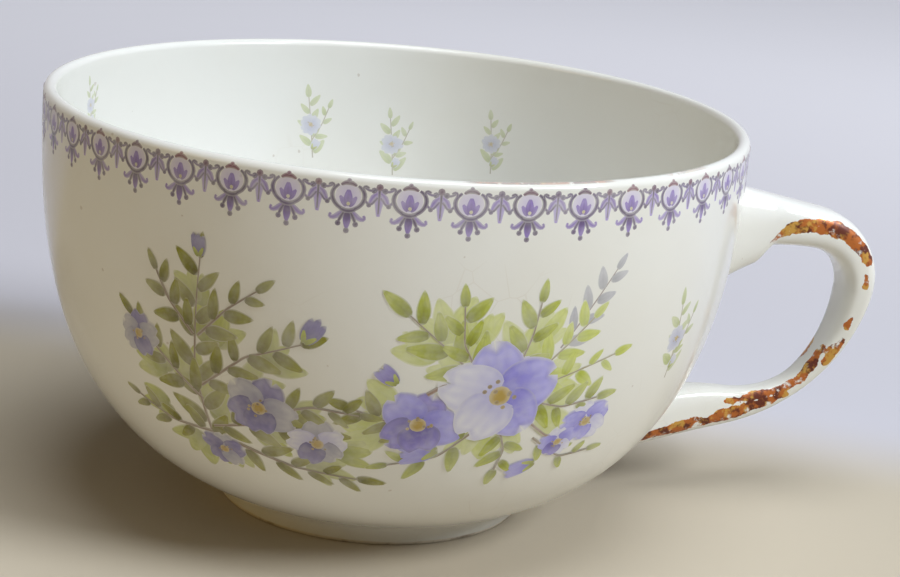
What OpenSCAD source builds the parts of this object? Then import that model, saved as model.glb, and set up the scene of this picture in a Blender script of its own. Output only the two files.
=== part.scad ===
// Low porcelain tea cup with a foot ring and a strap loop handle.
// The cup's axis is Z, its tread stands on z = 0, and the handle points along +X.

/* [Bowl] */
// Outside radius of the rim
rim_r = 47.5; // [42:0.5:54]
// Height from the table to the top of the lip
cup_h = 56; // [50:0.5:64]
// Fullness of the outside, from a plain ellipse at 2 to a squarer belly
belly = 2.7; // [2.3:0.05:3.1]
// Fullness of the inside
inner_belly = 2.8; // [2.4:0.05:3.2]
// Wall thickness at the lip
lip_t = 1.8; // [1.4:0.1:2.4]
// Thickness of the floor at the middle
floor_t = 2.8; // [2.2:0.1:4]

/* [Foot ring] */
// Outside radius of the foot ring where it meets the floor
foot_r = 22; // [19:0.5:26]
// Height of the foot ring
foot_h = 3; // [2:0.1:4.5]
// Width of the foot ring where it meets the floor
foot_w = 4; // [3:0.1:6]
// Width of the tread that stands on the table
tread_w = 1.8; // [1.2:0.1:2.4]
// How far the underside of the floor runs past the foot ring
foot_margin = 0.4; // [0.2:0.1:1.5]

/* [Handle loop] */
// Drop from the lip to the top of the upper arm, where the upper curve starts
arm_drop = 12.9; // [10:0.1:15]
// How far the loop stands out past the rim
reach = 24.4; // [21:0.1:30]
// Slope of the upper arm, falling away from the wall
arm_fall = 12; // [4:1:16]
// Outside radius of the loop's upper curve
upper_r = 10.8; // [9:0.1:13]
// Turn of the upper curve
upper_turn = 89; // [80:1:96]
// Height above the table of the loop's underside, where its long lower curve ends
low_z = 10.35; // [9.5:0.05:14]
// Turn of the long lower curve
lower_turn = 67; // [60:1:72]

/* [Handle strap] */
// Width of the strap over the upper arm and the upper curve
strap_w = 8; // [6.5:0.1:10]
// Width of the strap at its waist, on the lower curve
waist_w = 4; // [3:0.1:6]
// Thickness of the strap at the start of the upper curve
arm_t = 5.8; // [4.4:0.1:7]
// Thickness of the strap along the lower curve
strap_t = 2.7; // [2.2:0.1:3.6]
// Squareness of the strap's section, from an oval at 2 to flat faces with soft edges
strap_square = 3; // [2:0.1:5]

/* [Handle roots] */
// Growth of the upper arm's thickness from the upper curve to the wall
arm_growth = 4; // [1:0.1:5]
// Depth of the knee under the upper root
knee_drop = 5.4; // [3:0.1:8]
// Length of the knee from the wall
knee_len = 9.1; // [7:0.1:11.5]
// Length of the knee's sloping nose
knee_nose = 2.5; // [1.5:0.1:4.5]
// Widening of the upper root on each side
top_flare = 0.8; // [0:0.1:2]
// Width of the lower root at the wall
root_w = 13; // [9:0.1:16]
// Thickness of the lower root at the wall
root_t = 7.4; // [4:0.1:8]
// Length from the wall over which the lower root is wider than the strap
root_len = 27; // [18:0.5:32]
// Length from the wall over which the lower root is thicker than the strap
swell_len = 37.5; // [28:0.5:40]
// Length from the wall with the lower root's full thickness
swell_full = 13; // [2:0.5:18]
// Thickness of the slip between a root and the wall
slip_t = 0.6; // [0.4:0.1:1]
// Bead of slip that shows round each root
slip_bead = 0.9; // [0.5:0.1:1.5]

/* [Hidden] */
$fn = 96;
porcelain = "whitesmoke";
bare_clay = "antiquewhite";
// Steps along the wall's curve and round the lip
wall_steps = 40;
lip_steps = 10;
// Steps along the handle's upper arm, round its two curves, along its lower arm and round its section
arm_steps = 18;
upper_steps = 22;
lower_steps = 18;
low_steps = 12;
round_steps = 28;
// Step of the search for the wall along an arm
walk_step = 0.05;
// Gap left between a root and its slip
root_fit = 0.05;
// Corner radius of a slip patch, as a share of its smaller side
slip_round = 0.45;
// Chamfer on the foot ring's tread
tread_chamfer = 0.4;

// Height of the lip's centre, where the walls stand upright
lip_z = cup_h - lip_t / 2;
// Depth of the full outside curve, so that it lands on the foot
belly_d = (lip_z - foot_h) / pow(1 - pow((foot_r + foot_margin) / rim_r, belly), 1 / belly);
// Depth and radius of the full inside curve
inner_d = lip_z - foot_h - floor_t;
inner_r = rim_r - lip_t;
// Where the outside curve meets the floor's underside, as an angle along the curve
seat_a = acos(pow((lip_z - foot_h) / belly_d, belly / 2));

// Point on a squared quarter curve: angle 0 at its lowest point and 90 at the lip
function curve_pt(r, d, n, a) = [r * pow(sin(a), 2 / n), lip_z - d * pow(cos(a), 2 / n)];
// Radius of the outside at a height, with the wall moved out by extra
function wall_r(z, extra = 0) =
    z >= lip_z ? rim_r + extra
    : (rim_r + extra) * pow(max(0, 1 - pow((lip_z - z) / (belly_d + extra), belly)), 1 / belly);
// Point at a distance and direction from another point
function polar(c, r, a) = [c[0] + r * cos(a), c[1] + r * sin(a)];

// Directions from the centres of the curves: start of the upper one, where they meet, end of the lower one
dir_a = 90 - arm_fall;
dir_b = dir_a - upper_turn;
dir_c = dir_b - lower_turn;
// Centre of the upper curve, from the reach and the drop
upper_c = [rim_r + reach - upper_r, cup_h - arm_drop - upper_r * sin(dir_a)];
// Radius of the lower curve, so that the loop ends at its height above the table
lower_r = (upper_c[1] + upper_r * sin(dir_b) - low_z) / (sin(dir_b) - sin(dir_c));
// Centre of the lower curve, so that it runs on from the upper one without a corner
lower_c = polar(upper_c, upper_r - lower_r, dir_b);
// Ends of the two arcs on the outer face, and the directions of the arms from there to the wall
arm_out = polar(upper_c, upper_r, dir_a);
low_out = polar(lower_c, lower_r, dir_c);
arm_dir = dir_a + 90;
low_dir = dir_c - 90;

// Length from a point along a direction to the slip on the wall, found in small steps
function walk(p, a, s) =
    let (q = polar(p, s, a))
    q[0] <= wall_r(q[1], slip_t) || s > rim_r ? s : walk(p, a, s + walk_step);
arm_len = walk(arm_out, arm_dir, 0);
low_len = walk(low_out, low_dir, 0);

// Lengths along the outer face, from the start of the upper curve to where the lower one starts and ends
upper_run = upper_r * upper_turn * PI / 180;
loop_run = upper_run + lower_r * lower_turn * PI / 180;
// Where the strap starts to thin and to narrow, and over which lengths
thin_from = 0;
thin_len = 36;
waist_from = 13;
waist_len = 26;
// Turn of the upper root's sections towards the wall's slope, at the wall
root_lean = 6;
// Share of the knee's depth that its nose takes
nose_share = 0.53;

// Smooth step from 0 to 1
function smooth(f) = let (g = min(1, max(0, f))) g * g * (3 - 2 * g);
// Value between two others
function mix(a, b, f) = a + (b - a) * f;
// Depth of the knee at a distance from the wall: a sloping nose, then a slow fall to the wall
function knee(d) =
    let (slow = max(0, 1 - d / (knee_len - knee_nose)))
    knee_drop * (nose_share * smooth((knee_len - d) / knee_nose) + (1 - nose_share) * slow);
// Direction and thickness of the upper arm's sections at a distance from the wall
function upper_dir(d) = dir_a + root_lean * max(0, 1 - d / knee_len);
function upper_t(d) = arm_t + arm_growth * pow(1 - d / arm_len, 1.5) + knee(d);
// Thickness and width of the strap by the length along it from the start of the upper curve
function loop_t(s) = mix(arm_t, strap_t, smooth((s - thin_from) / thin_len));
function loop_w(s) = mix(strap_w, waist_w, smooth((s - waist_from) / waist_len));
// Widening of the lower root, from 0 on the lower curve to 1 at the wall, by the distance left to the wall
function growth(d) = pow(max(0, 1 - d / root_len), 1.5);
// Thickness of the strap in the lower root, by the distance left to the wall
function low_t(t, d) = mix(t, root_t, smooth((swell_len - d) / (swell_len - swell_full)));
// Widening of the upper root at a distance from the wall
function top_w(d) = strap_w + 2 * top_flare * pow(max(0, 1 - d / knee_len), 2);

// One station: outer point, inner point below it in a direction, and width
function station(p, a, t, w) = [p, polar(p, -t, a), w];
arm_stations = [for (i = [0 : arm_steps - 1])
    let (d = arm_len * i / arm_steps)
    station(polar(arm_out, arm_len - d, arm_dir), upper_dir(d), upper_t(d), top_w(d))];
upper_stations = [for (i = [0 : upper_steps - 1])
    let (
        a = dir_a - upper_turn * i / upper_steps,
        s = upper_run * i / upper_steps
    )
    station(polar(upper_c, upper_r, a), a, loop_t(s), loop_w(s))];
lower_stations = [for (i = [0 : lower_steps - 1])
    let (
        a = dir_b - lower_turn * i / lower_steps,
        s = mix(upper_run, loop_run, i / lower_steps),
        d = low_len + loop_run - s
    )
    station(polar(lower_c, lower_r, a), a, low_t(loop_t(s), d), mix(loop_w(s), root_w, growth(d)))];
low_stations = [for (i = [0 : low_steps])
    let (
        d = low_len * (1 - i / low_steps),
        s = loop_run + low_len - d
    )
    station(polar(low_out, low_len - d, low_dir), dir_c, low_t(loop_t(s), d), mix(loop_w(s), root_w, growth(d)))];
stations = concat(arm_stations, upper_stations, lower_stations, low_stations);
last = len(stations) - 1;

// Power that keeps the sign
function spow(x, n) = sign(x) * pow(abs(x), n);
// Ring of points round one station
function ring(st) = [for (j = [0 : round_steps - 1])
    let (
        a = 360 * j / round_steps,
        u = spow(cos(a), 2 / strap_square),
        v = spow(sin(a), 2 / strap_square),
        m = (st[0] + st[1]) / 2 + u * (st[0] - st[1]) / 2
    )
    [m[0], v * st[2] / 2, m[1]]];
// A point moved along X onto the slip, for the ends of the handle
function on_slip(p) = [sqrt(pow(wall_r(p[2], slip_t + root_fit), 2) - p[1] * p[1]), p[1], p[2]];
// The same only for a point that would lie inside the slip or the wall
function off_wall(p) = let (q = on_slip(p)) p[0] < q[0] ? q : p;

// Outside of the bowl as a solid, moved out by extra and closed above the lip; its seam is turned away
// from the handle
module wall_form(extra) {
    rotate([0, 0, 180])
        rotate_extrude()
            polygon(concat(
                [for (i = [0 : wall_steps])
                    curve_pt(rim_r + extra, belly_d + extra, belly, 90 * i / wall_steps)],
                [[rim_r + extra, cup_h + lip_t], [0, cup_h + lip_t]]
            ));
}

// Half of the wall's section, from the floor's underside over the lip to the middle of the floor
module bowl_section() {
    polygon(concat(
        [[0, foot_h]],
        [for (i = [0 : wall_steps])
            curve_pt(rim_r, belly_d, belly, seat_a + (90 - seat_a) * i / wall_steps)],
        [for (i = [1 : lip_steps - 1]) polar([rim_r - lip_t / 2, lip_z], lip_t / 2, 180 * i / lip_steps)],
        [for (i = [0 : wall_steps - 1]) curve_pt(inner_r, inner_d, inner_belly, 90 - 90 * i / wall_steps)],
        [[0, foot_h + floor_t]]
    ));
}

module bowl() {
    color(porcelain)
        rotate_extrude()
            bowl_section();
}

module foot_ring() {
    tread_mid = foot_r - foot_w / 2;
    color(bare_clay)
        rotate_extrude()
            polygon([
                [foot_r, foot_h],
                [foot_r - foot_w, foot_h],
                [tread_mid - tread_w / 2 - tread_chamfer, tread_chamfer],
                [tread_mid - tread_w / 2, 0],
                [tread_mid + tread_w / 2, 0],
                [tread_mid + tread_w / 2 + tread_chamfer, tread_chamfer]
            ]);
}

module handle() {
    mids = [for (k = [0, last]) let (m = (stations[k][0] + stations[k][1]) / 2) on_slip([m[0], 0, m[1]])];
    // Rings from the middle of one end face to the middle of the other, with one halfway out on each face
    rings = concat(
        [[for (p = ring(stations[0])) on_slip((p + mids[0]) / 2)]],
        [for (k = [0 : last]) [for (p = ring(stations[k])) k == 0 || k == last ? on_slip(p) : off_wall(p)]],
        [[for (p = ring(stations[last])) on_slip((p + mids[1]) / 2)]]
    );
    final = len(rings) - 1;
    skin = [for (r = rings, p = r) p];
    count = len(skin);
    next = [for (j = [0 : round_steps - 1]) (j + 1) % round_steps];
    sides = [for (k = [0 : final - 1], j = [0 : round_steps - 1], half = [0, 1])
        let (
            a = k * round_steps + j,
            b = k * round_steps + next[j],
            c = a + round_steps,
            d = b + round_steps
        )
        half == 0 ? [a, b, d] : [a, d, c]];
    start = [for (j = [0 : round_steps - 1]) [count, next[j], j]];
    end = [for (j = [0 : round_steps - 1])
        [count + 1, final * round_steps + j, final * round_steps + next[j]]];
    color(porcelain)
        polyhedron(concat(skin, mids), concat(sides, start, end));
}

// Space above the floor's underside, where the bowl has a wall that slip can lie on
module wall_zone() {
    side = 4 * rim_r;
    translate([-side / 2, -side / 2, foot_h])
        cube([side, side, cup_h]);
}

// Skin of slip on the wall, cut to a rounded patch round the root that ends at a station
module slip_patch(st) {
    along = st[0] - st[1];
    mid = (st[0] + st[1]) / 2;
    h = norm(along) + 2 * slip_bead;
    w = st[2] + 2 * slip_bead;
    r = min(w, h) * slip_round;
    deep = 2 * h;
    intersection() {
        difference() {
            wall_form(slip_t);
            wall_form(0);
        }
        wall_zone();
        translate([mid[0], 0, mid[1]])
            rotate([0, -atan2(along[1], along[0]), 0])
                translate([0, 0, -deep / 2])
                    linear_extrude(deep)
                        union() {
                            square([h - 2 * r, w], center = true);
                            square([h, w - 2 * r], center = true);
                            for (x = [-1, 1], y = [-1, 1])
                                translate([x * (h / 2 - r), y * (w / 2 - r)])
                                    circle(r);
                        }
    }
}

module upper_joint() {
    color(porcelain)
        slip_patch(stations[0]);
}

module lower_joint() {
    color(porcelain)
        slip_patch(stations[last]);
}

bowl();
foot_ring();
handle();
upper_joint();
lower_joint();
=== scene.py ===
"""Looks of a low porcelain tea cup: glazed body, printed lace border, flower sprays and worn gilding."""
import math

import bpy
import numpy as np
from mathutils import Matrix, Vector


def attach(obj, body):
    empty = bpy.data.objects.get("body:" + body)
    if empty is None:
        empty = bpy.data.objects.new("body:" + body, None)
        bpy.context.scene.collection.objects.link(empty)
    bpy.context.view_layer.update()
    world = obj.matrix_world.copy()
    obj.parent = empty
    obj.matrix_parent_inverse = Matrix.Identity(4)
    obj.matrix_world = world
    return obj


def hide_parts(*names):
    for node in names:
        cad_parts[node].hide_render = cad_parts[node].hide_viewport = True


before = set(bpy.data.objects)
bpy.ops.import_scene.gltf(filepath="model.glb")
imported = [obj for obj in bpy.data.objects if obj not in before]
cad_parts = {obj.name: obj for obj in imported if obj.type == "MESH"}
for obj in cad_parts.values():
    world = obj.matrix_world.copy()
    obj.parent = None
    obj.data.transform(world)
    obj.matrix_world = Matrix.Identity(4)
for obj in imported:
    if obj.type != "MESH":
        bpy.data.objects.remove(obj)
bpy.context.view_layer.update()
MM = 0.001

# Sizes of the cup in millimetres, the same as the solids'
RIM_R = 47.5
CUP_H = 56.0
BELLY = 2.7
INNER_BELLY = 2.8
LIP_T = 1.8
FLOOR_T = 2.8
FOOT_R = 22.0
FOOT_H = 3.0
FOOT_W = 4.0
TREAD_W = 1.8
FOOT_MARGIN = 0.4
ARM_DROP = 12.9
REACH = 24.4
ARM_FALL = 12.0
UPPER_R = 10.8
UPPER_TURN = 89.0
LOW_Z = 10.35
LOWER_TURN = 67.0
STRAP_W = 8.0
WAIST_W = 4.0
ARM_T = 5.8
ARM_GROWTH = 4.0
STRAP_T = 2.7
STRAP_SQUARE = 3.0
KNEE_DROP = 5.4
KNEE_LEN = 9.1
KNEE_NOSE = 2.5
NOSE_SHARE = 0.53
ROOT_LEAN = 6.0
TOP_FLARE = 0.8
ROOT_W = 13.0
ROOT_T = 7.4
ROOT_LEN = 27.0
SWELL_LEN = 37.5
SWELL_FULL = 13.0
THIN_FROM, THIN_LEN = 0.0, 36.0
WAIST_FROM, WAIST_LEN = 13.0, 26.0
SLIP_T = 0.6

LIP_Z = CUP_H - LIP_T / 2
BELLY_D = (LIP_Z - FOOT_H) / (1 - ((FOOT_R + FOOT_MARGIN) / RIM_R) ** BELLY) ** (1 / BELLY)
INNER_D = LIP_Z - FOOT_H - FLOOR_T
INNER_R = RIM_R - LIP_T
SEAT_A = math.degrees(math.acos(((LIP_Z - FOOT_H) / BELLY_D) ** (BELLY / 2)))


def smooth(f):
    """Smooth step from 0 to 1."""
    g = np.clip(f, 0, 1)
    return g * g * (3 - 2 * g)


def mix(a, b, f):
    """Value between two others."""
    return a + (b - a) * f


# The walls as curves that start at the lip

# How far up the round of the lip the outer curve starts, in degrees
LIP_REACH = 80
# Points along a wall and on its lip
WALL_POINTS, LIP_POINTS = 1600, 40


class Wall:
    """One side of the wall: its profile from the lip down, by the distance along it.

    With a lip radius the profile starts on the round of the lip, where the distance is below 0.
    """

    def __init__(self, r, d, n, low_angle, side, lip_r=0.0):
        a = np.radians(np.linspace(90, low_angle, WALL_POINTS))
        turn = np.radians(np.linspace(LIP_REACH, 0, LIP_POINTS if lip_r else 0, endpoint=False))
        self.r = np.concatenate([r - lip_r * (1 - np.cos(turn)), r * np.sin(a) ** (2 / n)])
        self.z = LIP_Z + np.concatenate([lip_r * np.sin(turn), -d * np.cos(a) ** (2 / n)])
        step = np.hypot(np.diff(self.r), np.diff(self.z))
        self.s = np.concatenate([[0], np.cumsum(step)])
        self.s -= self.s[len(turn)]
        dr, dz = np.gradient(self.r, self.s), np.gradient(self.z, self.s)
        self.nr, self.nz = -dz * side, dr * side

    def radius(self, s):
        """Radius at a distance from the lip."""
        return np.interp(s, self.s, self.r)

    def place(self, theta, s, off=0.0):
        """Point at an angle in radians and a distance from the lip, moved off the wall."""
        r = self.radius(s) + off * np.interp(s, self.s, self.nr)
        z = np.interp(s, self.s, self.z) + off * np.interp(s, self.s, self.nz)
        return np.stack([r * np.cos(theta), r * np.sin(theta), z], -1)

    def normal(self, theta, s):
        """Direction off the wall there."""
        nr, nz = np.interp(s, self.s, self.nr), np.interp(s, self.s, self.nz)
        return np.stack([nr * np.cos(theta), nr * np.sin(theta), nz], -1)

    def radius_at(self, z):
        """Radius at a height."""
        return np.interp(z, self.z[::-1], self.r[::-1])

    def along(self, z):
        """Distance from the lip at a height."""
        return np.interp(-np.asarray(z), -self.z, self.s)

    def profile(self, s):
        """Radius and height at distances from the lip."""
        return list(zip(self.radius(s).tolist(), np.interp(s, self.s, self.z).tolist()))


# The painted wall lies this far inside the solid one, so that the paint stays within its outline
SKIN = 0.05
LIP_R = (LIP_T - SKIN) / 2
outside = Wall(RIM_R - SKIN, BELLY_D - SKIN, BELLY, SEAT_A, 1, LIP_R)
inside = Wall(INNER_R, INNER_D, INNER_BELLY, 0, -1)


# Mesh helpers

# Radius below which a point lies on the axis
ON_AXIS = 1e-6


def link(name, data):
    """A new object in the scene."""
    made = bpy.data.objects.new(name, data)
    bpy.context.scene.collection.objects.link(made)
    return made


def new_piece(name, verts, faces, material):
    """A mesh piece from points in millimetres, riding on the cup."""
    mesh = bpy.data.meshes.new(name)
    mesh.from_pydata((np.asarray(verts) * MM).tolist(), [], faces)
    mesh.validate()
    mesh.polygons.foreach_set("use_smooth", [True] * len(mesh.polygons))
    mesh.update()
    mesh.materials.append(material)
    piece = link(name, mesh)
    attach(piece, "root")
    return piece


def set_colours(piece, name, colours):
    """A colour and its cover for each point of a piece."""
    layer = piece.data.attributes.new(name, "FLOAT_COLOR", "POINT")
    layer.data.foreach_set("color", np.asarray(colours, np.float32).ravel())


def set_gilt(piece, cover):
    """How much gilding is left at each point of a piece."""
    set_colours(piece, "gilt", np.stack([cover] * 4, -1))


def lathe(profile, segments):
    """Points and faces of a closed or axis-to-axis profile turned about Z."""
    turns = [2 * math.pi * k / segments for k in range(segments)]
    verts, faces, rows = [], [], []
    for r, z in profile:
        here = turns[:1] if r < ON_AXIS else turns
        rows.append([len(verts) + k % len(here) for k in range(segments)])
        verts += [(r * math.cos(t), r * math.sin(t), z) for t in here]
    closed = profile[0][0] > ON_AXIS
    for a, b in list(zip(rows, rows[1:])) + ([(rows[-1], rows[0])] if closed else []):
        for k in range(segments):
            n = (k + 1) % segments
            faces.append(list(dict.fromkeys((a[k], a[n], b[n], b[k]))))
    return verts, faces


def ring_faces(count, around, wrap):
    """Faces between rings of points, with wrap also from the last ring to the first."""
    faces = []
    for k in range(count if wrap else count - 1):
        m = (k + 1) % count
        for j in range(around):
            n = (j + 1) % around
            faces.append((k * around + j, k * around + n, m * around + n, m * around + j))
    return faces


def run_along(path):
    """Length along a path at each of its points."""
    return np.concatenate([[0], np.cumsum(np.linalg.norm(np.diff(path, axis=0), axis=1))])


def tube(grid):
    """Points and faces of a tube through the rings grid[k, j], with fans at its ends."""
    count, around = grid.shape[:2]
    verts = grid.reshape(-1, 3).tolist()
    faces = ring_faces(count, around, False)
    for k, flip in ((0, True), (count - 1, False)):
        verts.append(grid[k].mean(0).tolist())
        middle = len(verts) - 1
        for j in range(around):
            a, b = k * around + j, k * around + (j + 1) % around
            faces.append((middle, b, a) if flip else (middle, a, b))
    return verts, faces


# Materials

BODY = (0.83, 0.835, 0.81, 1)
BODY_WARM = (0.80, 0.795, 0.75, 1)
CRAZE = (0.55, 0.47, 0.36, 1)
SPECK = (0.32, 0.22, 0.14, 1)
CLAY = (0.70, 0.64, 0.54, 1)
CLAY_DIRT = (0.36, 0.29, 0.22, 1)
GILT_BROWN = (0.46, 0.13, 0.02, 1)
GILT_DARK = (0.12, 0.022, 0.008, 1)
GILT_GOLD = (0.58, 0.32, 0.06, 1)

# Scales of the noise and cells in the materials, in 1/m, and how strong each effect is
CLOUD_SCALE = 24
CRAZE_SCALE, CRAZE_WIDTH = 210, 0.022
CRAZE_PLACES, CRAZE_COVER = 40, 0.2
SPECK_SCALE, SPECK_COVER = 620, 0.3
WAVE_SCALE, WAVE_STRENGTH, WAVE_DEPTH = 70, 0.06, 0.0003
GLAZE_IOR = 1.5
GLOSS_SCALE, GLOSS_LOW, GLOSS_HIGH = 45, 0.07, 0.17
WEAR_SCALE, DARK_SCALE, GOLD_SCALE = 420, 640, 430
GILT_ROUGH, GILT_METAL = 0.36, 0.2
# How much the edge of the strap's gilding is frayed, as a share of its cover
TATTER_SCALE, TATTER = 520, 0.38
# Heights between which the glaze starts on the foot, and the wave of that line, in metres
BARE_TOP, GLAZE_START, EDGE_SCALE, EDGE_WAVE = 0.0007, 0.0009, 160, 0.0005
CLAY_SCALE, CLAY_ROUGH, WASH_SCALE, WASH_COVER = 330, 0.75, 330, 0.1
GRAIN_SCALE, GRAIN_LEAST = 700, 0.86
ENAMEL_ROUGH = 0.06
WHITE = (1, 1, 1, 1)


class Nodes:
    """Short calls to add and join the nodes of one tree."""

    def __init__(self, tree):
        self.tree = tree

    def fill(self, node, inputs):
        """Give the inputs of a node values or the outputs of other nodes."""
        for key, value in inputs.items():
            if isinstance(value, bpy.types.NodeSocket):
                self.tree.links.new(value, node.inputs[key])
            else:
                node.inputs[key].default_value = value

    def add(self, kind, inputs, out=0, **settings):
        """One output of a new node."""
        node = self.tree.nodes.new("ShaderNode" + kind)
        for key, value in settings.items():
            setattr(node, key, value)
        self.fill(node, inputs)
        return node.outputs[out]

    def span(self, value, low, high, to_low=0.0, to_high=1.0):
        """A value's way from low to high, as a smooth step between two others."""
        inputs = {"Value": value, "From Min": low, "From Max": high, "To Min": to_low, "To Max": to_high}
        return self.add("MapRange", inputs, "Result", interpolation_type="SMOOTHSTEP")

    def math(self, operation, a, b, clamp=False):
        return self.add("Math", {0: a, 1: b}, operation=operation, use_clamp=clamp)

    def blend(self, fac, a, b, kind="MIX"):
        return self.add("Mix", {0: fac, 6: a, 7: b}, 2, data_type="RGBA", blend_type=kind)

    def part(self, vector, axis):
        return self.add("SeparateXYZ", {"Vector": vector}, axis)

    def attribute(self, name, out):
        """Colour or cover, its alpha, that comes with the points."""
        return self.add("Attribute", {}, out, attribute_name=name)

    def background(self):
        """1 for rays that show the background: from the camera, in a reflection or through glass."""
        total = 0.0
        for name in ("Is Camera Ray", "Is Glossy Ray", "Is Transmission Ray"):
            total = self.math("ADD", total, self.add("LightPath", {}, name), True)
        return total


class Surface(Nodes):
    """The nodes of one material, with its shader and the place on the object in metres."""

    def __init__(self, name):
        self.material = bpy.data.materials.new(name)
        self.material.use_nodes = True
        super().__init__(self.material.node_tree)
        self.shader = self.tree.nodes["Principled BSDF"]
        self.place = self.add("TexCoord", {}, "Object")

    def noise(self, scale, detail=3.0, rough=0.5):
        inputs = {"Vector": self.place, "Scale": scale, "Detail": detail, "Roughness": rough}
        return self.add("TexNoise", inputs, "Fac")

    def finish(self, colour, rough, metal=0.0):
        self.fill(self.shader, {"Base Color": colour, "Roughness": rough, "Metallic": metal})
        return self.material


def porcelain_colour(n):
    """White body under the glaze: slow warm clouds, fine crazing lines and a few kiln specks."""
    body = n.blend(n.span(n.noise(CLOUD_SCALE), 0.42, 0.66), BODY, BODY_WARM)
    net = {"Vector": n.place, "Scale": CRAZE_SCALE}
    edge = n.add("TexVoronoi", net, "Distance", feature="DISTANCE_TO_EDGE")
    lines = n.span(edge, 0.0, CRAZE_WIDTH, 1.0, 0.0)
    where = n.span(n.noise(CRAZE_PLACES), 0.52, 0.72, 0.0, CRAZE_COVER)
    body = n.blend(n.math("MULTIPLY", lines, where), body, CRAZE)
    return n.blend(n.span(n.noise(SPECK_SCALE, 1.0), 0.79, 0.81, 0.0, SPECK_COVER), body, SPECK)


def glaze(n):
    """Gloss of the glaze, with its slight waves."""
    waves = {"Height": n.noise(WAVE_SCALE, 2.0), "Strength": WAVE_STRENGTH, "Distance": WAVE_DEPTH}
    n.fill(n.shader, {"Normal": n.add("Bump", waves, "Normal"), "IOR": GLAZE_IOR})
    return n.span(n.noise(GLOSS_SCALE), 0.3, 0.7, GLOSS_LOW, GLOSS_HIGH)


def make_plain_material():
    """Glaze without gilding, for the slip round the handle's roots."""
    n = Surface("glazed_roots")
    return n.finish(porcelain_colour(n), glaze(n))


def make_gilt_material(name, tatter):
    """Glaze with what is left of its gilding, whose edges may be frayed."""
    n = Surface(name)
    colour, rough = porcelain_colour(n), glaze(n)
    mask = n.attribute("gilt", "Alpha")
    if tatter:
        fray = n.span(n.noise(TATTER_SCALE, 4.0, 0.6), 0.3, 0.7, -tatter, tatter)
        mask = n.span(n.math("ADD", mask, fray), 0.42, 0.58)
    wear = n.span(n.noise(WEAR_SCALE, 4.0, 0.65), 0.36, 0.45)
    left = n.math("MULTIPLY", n.span(mask, 0.25, 0.6), wear)
    tone = n.blend(n.span(n.noise(DARK_SCALE, 4.0, 0.6), 0.40, 0.55), GILT_DARK, GILT_BROWN)
    tone = n.blend(n.span(n.noise(GOLD_SCALE, 3.0, 0.6), 0.52, 0.62), tone, GILT_GOLD)
    rough = n.math("MAXIMUM", rough, n.math("MULTIPLY", left, GILT_ROUGH))
    return n.finish(n.blend(left, colour, tone), rough, n.math("MULTIPLY", left, GILT_METAL))


def make_foot_material():
    """Glazed foot whose tread is bare clay."""
    n = Surface("glazed_foot_bare_tread")
    colour, rough = porcelain_colour(n), glaze(n)
    edge = n.math("ADD", n.part(n.place, "Z"), n.math("MULTIPLY", n.noise(EDGE_SCALE), EDGE_WAVE))
    bare = n.span(edge, BARE_TOP, GLAZE_START, 1.0, 0.0)
    clay = n.blend(n.span(n.noise(CLAY_SCALE, 4.0), 0.5, 0.75), CLAY, CLAY_DIRT)
    rough = n.math("MAXIMUM", rough, n.math("MULTIPLY", bare, CLAY_ROUGH))
    return n.finish(n.blend(bare, colour, clay), rough)


def make_enamel_material():
    """Enamel on the glaze, whose colour and cover come with the points of the film."""
    n = Surface("painted_enamel")
    paint, cover = n.attribute("paint", "Color"), n.attribute("paint", "Alpha")
    wash = n.blend(n.span(n.noise(WASH_SCALE, 3.0), 0.35, 0.65, 0.0, WASH_COVER), paint, WHITE, "SCREEN")
    grain = n.span(n.noise(GRAIN_SCALE, 2.0), 0.30, 0.62, GRAIN_LEAST, 1.0)
    colour = n.blend(n.math("MULTIPLY", cover, grain), porcelain_colour(n), wash)
    return n.finish(colour, n.math("ADD", glaze(n), ENAMEL_ROUGH))


body_material = make_gilt_material("glazed_porcelain", 0)
plain_material = make_plain_material()
strap_material = make_gilt_material("glazed_strap_gilt", TATTER)
foot_material = make_foot_material()
enamel_material = make_enamel_material()

# Body of the cup

BODY_SEGMENTS = 288
# Points along each wall and under the floor, turn between those on the lip, and rise of the underside
WALL_ROWS, UNDER_ROWS, LIP_TURN, UNDER_RISE = 90, 14, 12, 0.25
# Start of the line on the lip and how fast it sets in, in lip radii above the lip's middle
LIP_LINE, LIP_LINE_SOFT = 0.72, 0.1
# Its stretches: middle and half length in degrees, and how much is left; half of their soft ends
LIP_STRETCHES = ((-80, 13, 0.42), (-52, 7, 0.36))
LIP_FADE = 3


def body_profile():
    """From the middle of the underside up the wall, over the lip and down the inside to the floor."""
    hollow_r = FOOT_R - FOOT_W
    radii = np.linspace(0, hollow_r, UNDER_ROWS)
    under = [(r, FOOT_H + UNDER_RISE * (1 - (r / hollow_r) ** 2)) for r in radii]
    seat = [(FOOT_R - 0.5 * FOOT_W, FOOT_H), (FOOT_R, FOOT_H)]
    # closer together near the foot than near the lip
    up = outside.s[-1] - np.linspace(0, 1, WALL_ROWS) ** 0.9 * outside.s[-1]
    round_lip = np.radians(np.arange(LIP_TURN, 180, LIP_TURN))
    lip = [(INNER_R + LIP_R + LIP_R * math.cos(a), LIP_Z + LIP_R * math.sin(a)) for a in round_lip]
    down = np.linspace(0, 1, WALL_ROWS)[:-1] * inside.s[-1]
    return under + seat + outside.profile(up) + lip + inside.profile(down) + [(0.0, FOOT_H + FLOOR_T)]


def lip_gilt(verts):
    """How much of the line on top of the lip is left at each point."""
    x, y, z = np.asarray(verts).T
    on_top = smooth((z - LIP_Z - LIP_LINE * LIP_R) / (LIP_LINE_SOFT * LIP_R))
    theta = np.degrees(np.arctan2(y, x))
    left = np.zeros(len(z))
    for middle, half, amount in LIP_STRETCHES:
        away = np.abs((theta - middle + 180) % 360 - 180)
        left = np.maximum(left, amount * (1 - smooth((away - half + LIP_FADE) / (2 * LIP_FADE))))
    return on_top * left


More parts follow.
